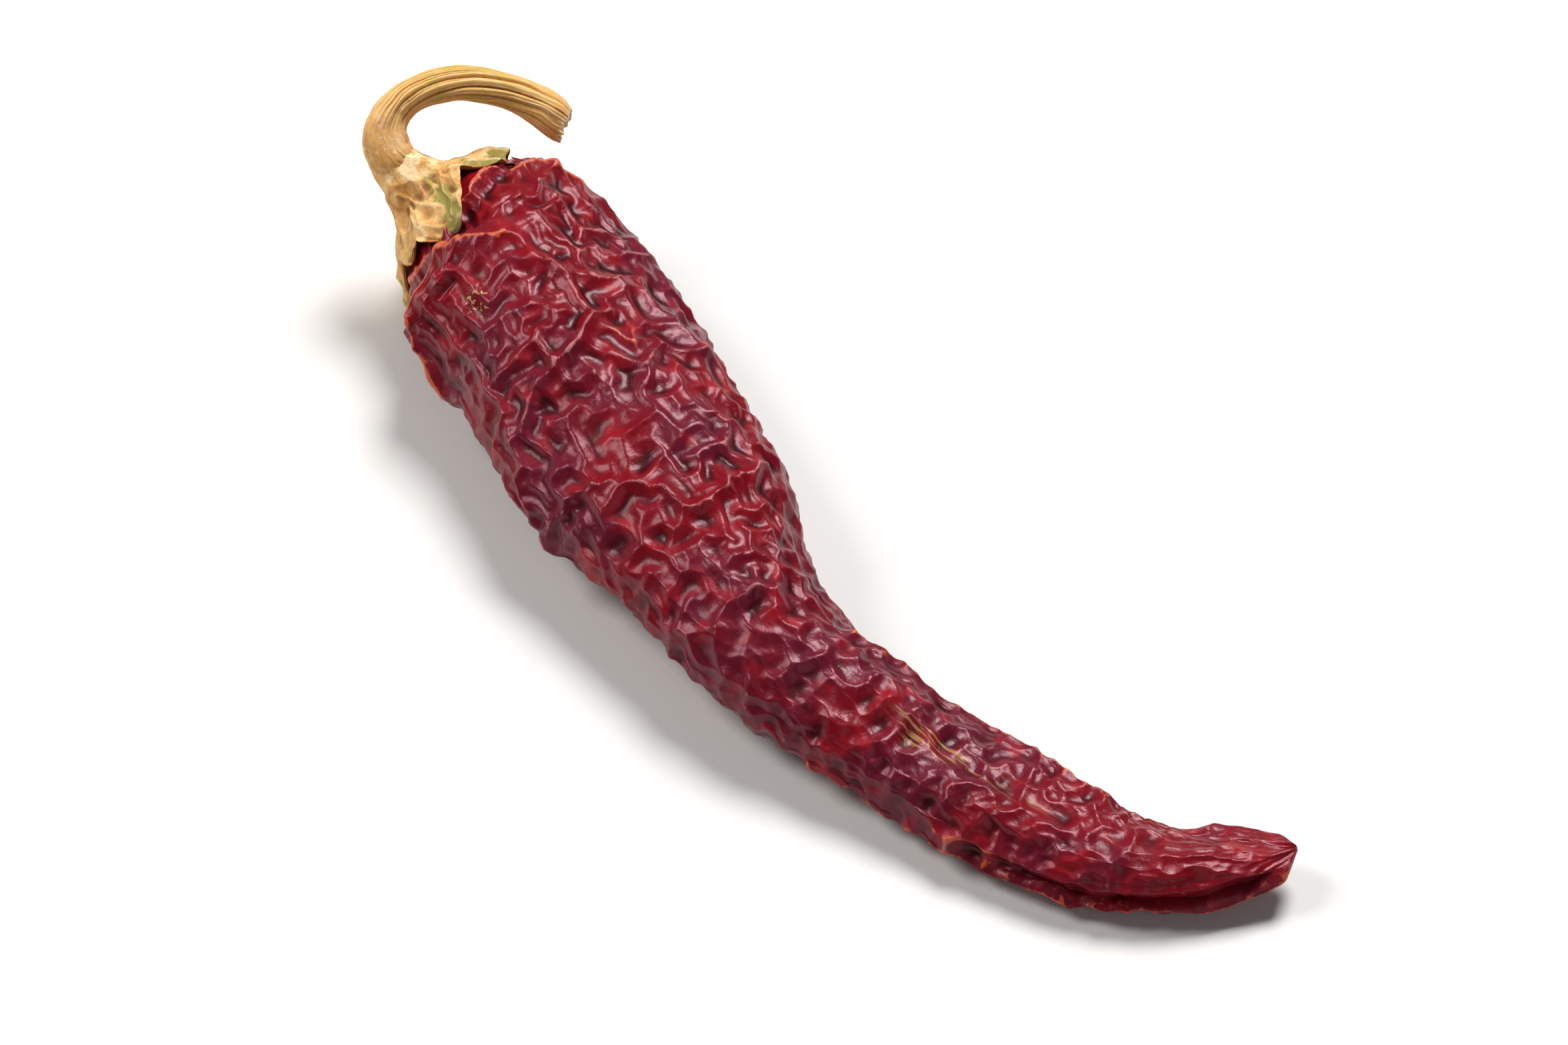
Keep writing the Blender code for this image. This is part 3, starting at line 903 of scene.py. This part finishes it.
def stem_rings(rng, centre, along, reach, angles):
    """The stem's surface as rings, from the closed base to the frayed end."""
    ways, sides, ups = carried_frames(centre)
    across = sides[:, None] * np.cos(angles)[None, :, None] + ups[:, None] * np.sin(angles)[None, :, None]
    near_end = np.clip((along - along[-1] + FRAY_LENGTH) / FRAY_LENGTH, 0, 1)[:, None]
    ragged = np.clip(-(across[-1] @ CLEAN_SIDE), 0, 1)
    least, variation = FRAY
    frayed = ragged * (least + variation * np.abs(coarse_noise(rng, (1, STEM_AROUND), FRAY_CELL)[0]))
    reach = reach * (1 - CLEAN_TAPER * near_end**2 * (1 - ragged)[None])
    grid = centre[:, None] + across * reach[..., None] + ways[:, None] * (near_end * frayed[None])[..., None]
    rings = [centre[:1, None] + (grid[:1] - centre[:1, None]) * BASE_RING, grid]
    roughness, cell = END_ROUGHNESS
    for scale, bulge in STEM_END:
        rough = coarse_noise(rng, (1, STEM_AROUND), cell)[0] * roughness
        lift = bulge + rough - frayed * (1 - scale) * FRAY_SINK
        rings.append((centre[-1] + (grid[-1] - centre[-1]) * scale + ways[-1] * lift[:, None])[None])
    return np.concatenate(rings)


def make_stem(offset, material):
    rng = np.random.default_rng(STEM_SEED)
    points = np.array(STEM_POINTS)
    route = catmull_rom(points, np.linspace(0, len(points) - 1, STEM_ROWS))
    centre, radius = route[:, :3], route[:, 3]
    along = np.concatenate(((0,), np.cumsum(np.linalg.norm(np.diff(centre, axis=0), axis=1))))
    angles = np.arange(STEM_AROUND) * math.tau / STEM_AROUND
    reach, groove, phase = stem_ridges(rng, along, radius, angles)
    rings = stem_rings(rng, centre, along, reach, angles) + offset
    vertices, faces, uvs = tube(rings, rings[0].mean(0), rings[-1].mean(0))
    caps = len(STEM_END)

    def on_all_rows(field):
        return np.concatenate((field[:1], field, np.repeat(field[-1:], caps, 0)))

    spin = on_all_rows(phase)
    level = np.zeros(STEM_AROUND)
    layers = {
        "groove": on_all_rows(groove),
        "along": on_all_rows(along[:, None] + level),
        "cut": np.repeat((0.0, 1.0), (STEM_ROWS + 1, caps))[:, None] + level,
        "fibre_x": np.cos(spin) * 2,
        "fibre_y": np.sin(spin) * 2,
    }
    values = {name: on_tube(layer, layer[0, 0], layer[-1, 0]) for name, layer in layers.items()}
    stem = add_object("stem_ridged_stalk", vertices, faces, uvs, values, material)
    outward(stem)
    return stem


# Materials


class Painter:
    """A material and short ways to add nodes to it."""

    def __init__(self, name):
        self.material = bpy.data.materials.new(name)
        self.material.use_nodes = True
        self.tree = self.material.node_tree
        self.shader = self.tree.nodes["Principled BSDF"]

    def feed(self, node, inputs):
        """Gives a node's inputs their values, or links them to the outputs of others."""
        for key, value in inputs.items():
            if isinstance(value, bpy.types.NodeSocket):
                self.tree.links.new(value, node.inputs[key])
            else:
                node.inputs[key].default_value = value

    def outputs(self, kind, inputs, **settings):
        """The outputs of a new node."""
        node = self.tree.nodes.new(kind)
        for key, value in settings.items():
            setattr(node, key, value)
        self.feed(node, inputs)
        return node.outputs

    def attribute(self, name):
        return self.outputs("ShaderNodeAttribute", {}, attribute_name=name)["Fac"]

    def place(self):
        return self.outputs("ShaderNodeTexCoord", {})["Object"]

    def vector(self, x, y, z):
        return self.outputs("ShaderNodeCombineXYZ", {"X": x, "Y": y, "Z": z})[0]

    def noise(self, vector, size, detail=3.0, roughness=0.5, distortion=0.0):
        """Noise from 0 to 1 whose features are size apart, in the vector's units."""
        inputs = {"Vector": vector, "Scale": 1 / size, "Detail": detail, "Roughness": roughness}
        return self.outputs("ShaderNodeTexNoise", {**inputs, "Distortion": distortion})["Fac"]

    def times(self, a, b):
        return self.outputs("ShaderNodeMath", {0: a, 1: b}, operation="MULTIPLY")[0]

    def plus(self, a, b):
        return self.outputs("ShaderNodeMath", {0: a, 1: b}, operation="ADD")[0]

    def span(self, value, low, high, start=0.0, end=1.0):
        """start where value is low or less, and end where it is high or more."""
        inputs = {"Value": value, "From Min": low, "From Max": high, "To Min": start, "To Max": end}
        return self.outputs("ShaderNodeMapRange", inputs, interpolation_type="SMOOTHSTEP")[0]

    def mix(self, share, a, b):
        """The colour a, turning to b as share goes from 0 to 1."""
        return self.outputs("ShaderNodeMix", {0: share, 6: a, 7: b}, data_type="RGBA")[2]

    def tint(self, a, b, value, low, high, most=1.0):
        """The colour a, turning to b by up to most as value goes from low to high."""
        return self.mix(self.span(value, low, high, 0.0, most), a, b)

    def bump(self, height, distance, below=None):
        """A bump of that height in mm, on top of the one below."""
        inputs = {"Strength": 1.0, "Distance": distance * MM, "Height": height}
        if below is not None:
            inputs["Normal"] = below
        return self.outputs("ShaderNodeBump", inputs)[0]

    def finish(self, colour, roughness, normal, **others):
        inputs = {"Base Color": colour, "Roughness": roughness, "Normal": normal, **others}
        self.feed(self.shader, inputs)
        return self.material


SKIN_SURFACE = {
    "IOR": 1.42,
    "Specular Tint": (1.0, 0.50, 0.58, 1),
    "Coat Weight": 0.10,
    "Coat Roughness": 0.18,
}
WINE = (0.125, 0.006, 0.019, 1)
CRIMSON = (0.190, 0.002, 0.008, 1)
RUBY = (0.300, 0.004, 0.010, 1)
PAINTED_SHADE_RED = (0.040, 0.0005, 0.002, 1)
PAINTED_HIGHLIGHT_PINK = (0.500, 0.170, 0.170, 1)
PAINTED_GLOW_ORANGE = (0.620, 0.120, 0.050, 1)
STRAW = (0.450, 0.240, 0.090, 1)
CHAFF = (0.620, 0.460, 0.230, 1)
# How sharp a crest is where its painted highlight line begins and where the line is full, in standard
# deviations.
LINE_FROM = 2.1
LINE_TO = 3.8
# How far apart the straw-coloured strands are (mm), and how much shorter noise is along fibres than across.
STRAND_GAP = 0.38
LENGTHWISE = 0.10


def skin_material():
    """Glossy dark crimson: wine on the facets, painted shade in the hollows, and on the crests painted pale
    highlights and painted orange glow.
    """
    p = Painter("dried_chilli_skin")
    place = p.place()
    crest = p.attribute("crest")
    patchy = p.noise(place, 3.5 * MM, 3)
    fine = p.noise(place, 0.6 * MM, 4, 0.6)
    colour = p.tint(CRIMSON, WINE, p.noise(place, 12 * MM, 3), 0.38, 0.62)
    colour = p.tint(colour, RUBY, patchy, 0.50, 0.72, 0.8)
    # Painted shade: the skin darkens to a deep blood red in its hollows.
    colour = p.tint(colour, PAINTED_SHADE_RED, p.attribute("relief"), 0.0, -1.9)
    # Painted highlight: thin broken pale pink lines along the sharpest crests.
    sharp = p.plus(crest, p.span(fine, 0.3, 0.7, -0.7, 0.7))
    broken = p.span(p.noise(place, 5 * MM, 2), 0.38, 0.62, 0.25, 0.80)
    line = p.times(p.span(sharp, LINE_FROM, LINE_TO), broken)
    colour = p.mix(line, colour, PAINTED_HIGHLIGHT_PINK)
    # Painted glow of light through the thin skin: orange lips on the big folds, and orange crests here and
    # there.
    lip = p.plus(p.attribute("lip"), p.span(p.attribute("painted_glow"), 0.3, 1.0, 0.0, 0.35))
    colour = p.mix(p.times(p.span(lip, 0.15, 0.6), p.span(sharp, 0.7, 2.0, 0, 0.85)), colour, PAINTED_GLOW_ORANGE)
    # A straw-coloured streak of strands, a straw-coloured edge and a pale fleck.
    strand_place = p.vector(p.times(p.attribute("along"), LENGTHWISE), p.attribute("across"), 0.0)
    strands = p.span(p.noise(strand_place, STRAND_GAP, 4), 0.46, 0.62)
    colour = p.tint(colour, STRAW, p.times(p.attribute("streak"), strands), 0.20, 0.95, 0.75)
    colour = p.tint(colour, STRAW, p.times(p.attribute("edge"), p.span(crest, 0.8, 2.4)), 0.25, 0.9, 0.7)
    crumbs = p.span(p.noise(place, 0.6 * MM, 3, 0.6, 0.8), 0.52, 0.66)
    colour = p.tint(colour, CHAFF, p.times(p.attribute("fleck"), crumbs), 0.3, 0.8, 0.9)
    roughness = p.span(p.plus(patchy, line), 0.3, 1.1, 0.32, 0.50)
    normal = p.bump(p.noise(place, 1.3 * MM, 3, 0.55, 0.6), 0.10, p.bump(fine, 0.04))
    return p.finish(colour, roughness, normal, **SKIN_SURFACE)


DRY_IOR = 1.35
CALYX_ROUGHNESS = 0.75
STEM_ROUGHNESS = 0.62
TAN = (0.760, 0.460, 0.175, 1)
CREAM = (0.880, 0.670, 0.390, 1)
GOLD = (0.860, 0.480, 0.140, 1)
OCHRE = (0.620, 0.300, 0.080, 1)
RUST = (0.480, 0.175, 0.035, 1)
PAINTED_SHADE_BROWN = (0.150, 0.058, 0.016, 1)
OLIVE = (0.250, 0.235, 0.045, 1)
GOLD_GREEN = (0.520, 0.400, 0.070, 1)
PINK_BROWN = (0.540, 0.240, 0.110, 1)


def calyx_material():
    """Dry tan and cream, olive green on the lobes' edges, painted brown shade in the folds, and brown inside.
    """
    p = Painter("dried_calyx")
    place = p.place()
    crest = p.attribute("crest")
    blotch = p.noise(place, 2.4 * MM, 4, 0.6, 0.5)
    fine = p.noise(place, 0.45 * MM, 4, 0.65)
    colour = p.tint(TAN, OCHRE, blotch, 0.38, 0.62)
    colour = p.tint(colour, CREAM, fine, 0.48, 0.72, 0.45)
    # Marks with ragged edges.
    pale = p.plus(p.attribute("pale"), p.span(blotch, 0.35, 0.65, 0.3, -0.5))
    colour = p.tint(colour, CREAM, pale, 0.3, 0.9, 0.85)
    pink = p.plus(p.attribute("pink"), p.span(fine, 0.3, 0.7, 0.25, -0.35))
    colour = p.tint(colour, PINK_BROWN, pink, 0.45, 0.85, 0.8)
    colour = p.tint(colour, RUST, p.attribute("scar"), 0.2, 0.9, 0.55)
    ragged = p.span(p.noise(place, 1.5 * MM, 4, 0.6), 0.3, 0.7, 0.35, -0.45)
    colour = p.tint(colour, OLIVE, p.plus(p.attribute("green"), ragged), 0.30, 0.75, 0.85)
    # Painted shade: dark brown in the folds. Then pale crests and the rusty inside.
    colour = p.tint(colour, PAINTED_SHADE_BROWN, crest, -0.5, -2.4, 0.75)
    colour = p.tint(colour, CREAM, crest, 1.0, 3.0, 0.5)
    colour = p.tint(colour, RUST, p.attribute("inside"), 0.3, 0.7, 0.8)
    normal = p.bump(fine, 0.12, p.bump(p.noise(place, 1.2 * MM, 3), 0.22))
    return p.finish(colour, CALYX_ROUGHNESS, normal, IOR=DRY_IOR)


def stem_material():
    """Golden straw, darker in the grooves, greenish on the hook and mottled where it meets the calyx."""
    p = Painter("dried_stem")
    place = p.place()
    along, cut = p.attribute("along"), p.attribute("cut")
    fibre_place = p.vector(p.attribute("fibre_x"), p.attribute("fibre_y"), p.times(along, LENGTHWISE))
    fibres = p.noise(fibre_place, 0.20, 4, 0.6)
    blotch = p.noise(place, 2.6 * MM, 4, 0.6)
    fine = p.noise(place, 0.45 * MM, 4, 0.65)
    colour = p.tint(GOLD, TAN, p.noise(fibre_place, 0.8, 3), 0.38, 0.66)
    colour = p.tint(colour, CREAM, fibres, 0.48, 0.68, 0.65)
    colour = p.tint(colour, OCHRE, fibres, 0.42, 0.30, 0.5)
    groove = p.plus(p.attribute("groove"), p.span(fine, 0.3, 0.7, -0.15, 0.15))
    colour = p.tint(colour, RUST, groove, 0.25, 0.85, 0.75)
    # Greenish on top of the hook, from 9 to 24 mm along.
    top = p.times(p.span(blotch, 0.44, 0.58), p.span(along, 9.0, 14.0))
    colour = p.mix(p.times(top, p.span(along, 24.0, 18.0, 0, 0.6)), colour, GOLD_GREEN)
    # The foot is mottled like the calyx.
    foot = p.tint(TAN, OCHRE, blotch, 0.38, 0.62)
    foot = p.tint(foot, CREAM, fine, 0.48, 0.72, 0.6)
    foot = p.tint(foot, CREAM, p.noise(place, 1.6 * MM, 3), 0.55, 0.66, 0.7)
    foot = p.tint(foot, PINK_BROWN, p.noise(place, 2.2 * MM, 2), 0.42, 0.34, 0.8)
    colour = p.tint(colour, foot, along, 9.0, 4.5, 0.9)
    # Pale and rusty grains on the cut end.
    colour = p.mix(p.times(cut, p.span(fine, 0.40, 0.60)), colour, CREAM)
    colour = p.mix(p.times(cut, p.span(fine, 0.46, 0.36)), colour, RUST)
    return p.finish(colour, STEM_ROUGHNESS, p.bump(fibres, 0.12, p.bump(fine, 0.06)), IOR=DRY_IOR)


# Floor, lights and camera
CAMERA_AZIMUTH = 44
CAMERA_ELEVATION = 48
CAMERA_DISTANCE = 0.75
CAMERA_LENS = 160
CAMERA_SENSOR = 36
CAMERA_NEAREST = 0.01
# What the camera and the lights are aimed at is this high (m), in the middle of the part.
TARGET_HEIGHT = 0.008
FLOOR_SIZE = 3
FLOOR_COLOUR = (0.80, 0.79, 0.77, 1)
FLOOR_ROUGHNESS = 0.6
SKY_COLOUR = (0.95, 0.97, 1.0, 1)
SKY_STRENGTH = 0.07
# Lights: azimuth and elevation (degrees), distance and size (m), power (W) and colour.
LIGHTS = {
    "key": (200, 55, 0.9, 0.40, 9, (1.0, 1.0, 1.0)),
    "left": (300, 45, 0.9, 0.40, 4.5, (1.0, 0.99, 0.97)),
    "front": (60, 35, 1.0, 0.70, 1, (1.0, 1.0, 1.0)),
}


def make_floor():
    bpy.ops.mesh.primitive_plane_add(size=FLOOR_SIZE)
    floor = bpy.context.object
    floor.name = "floor"
    p = Painter("pale_floor")
    p.feed(p.shader, {"Base Color": FLOOR_COLOUR, "Roughness": FLOOR_ROUGHNESS})
    floor.data.materials.append(p.material)
    return floor


def put(obj, target, azimuth, elevation, distance):
    """Places obj that far from target, facing it: azimuth is 0 at -Y and 90 at +X, in degrees."""
    a, e = math.radians(azimuth), math.radians(elevation)
    away = Vector((math.sin(a) * math.cos(e), -math.cos(a) * math.cos(e), math.sin(e)))
    bpy.context.scene.collection.objects.link(obj)
    obj.location = target + away * distance
    obj.rotation_mode = "QUATERNION"
    obj.rotation_quaternion = (target - obj.location).to_track_quat("-Z", "Y")


def add_lights(target):
    for name, (azimuth, elevation, distance, size, power, colour) in LIGHTS.items():
        light = bpy.data.lights.new(name, "AREA")
        light.shape = "DISK"
        light.size = size
        light.energy = power
        light.color = colour
        put(bpy.data.objects.new(name, light), target, azimuth, elevation, distance)


def set_world():
    world = bpy.data.worlds.new("studio")
    bpy.context.scene.world = world
    world.use_nodes = True
    background = world.node_tree.nodes["Background"]
    background.inputs["Color"].default_value = SKY_COLOUR
    background.inputs["Strength"].default_value = SKY_STRENGTH


def add_camera(target):
    data = bpy.data.cameras.new("camera")
    data.lens = CAMERA_LENS
    data.sensor_width = CAMERA_SENSOR
    data.clip_start = CAMERA_NEAREST
    camera = bpy.data.objects.new("camera", data)
    put(camera, target, CAMERA_AZIMUTH, CAMERA_ELEVATION, CAMERA_DISTANCE)
    bpy.context.scene.camera = camera


def pod_offset():
    """How far the shapes are moved (mm) so that the smooth pod has its place in the frame."""
    low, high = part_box("pod")
    middle = (np.array(low) + np.array(high)) / 2 / MM
    smooth = pod_surface()[0].reshape(-1, 3)
    offset = middle - (smooth.min(0) + smooth.max(0)) / 2
    offset[2] = 0
    return offset


def main():
    offset = pod_offset()
    for make, material, node, slot in (
        (make_pod, skin_material(), "pod", "pod_skin"),
        (make_calyx, calyx_material(), "calyx", "calyx_skin"),
        (make_stem, stem_material(), "stem", "stem_bark"),
    ):
        piece = make(offset, material)
        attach(piece, "root")
        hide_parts(node)
    floor = make_floor()
    low, high = cad_box
    target = Vector(((low[0] + high[0]) / 2, (low[1] + high[1]) / 2, TARGET_HEIGHT))
    set_world()
    add_camera(target)
    add_lights(target)
    bpy.context.scene.view_settings.view_transform = "Standard"


main()
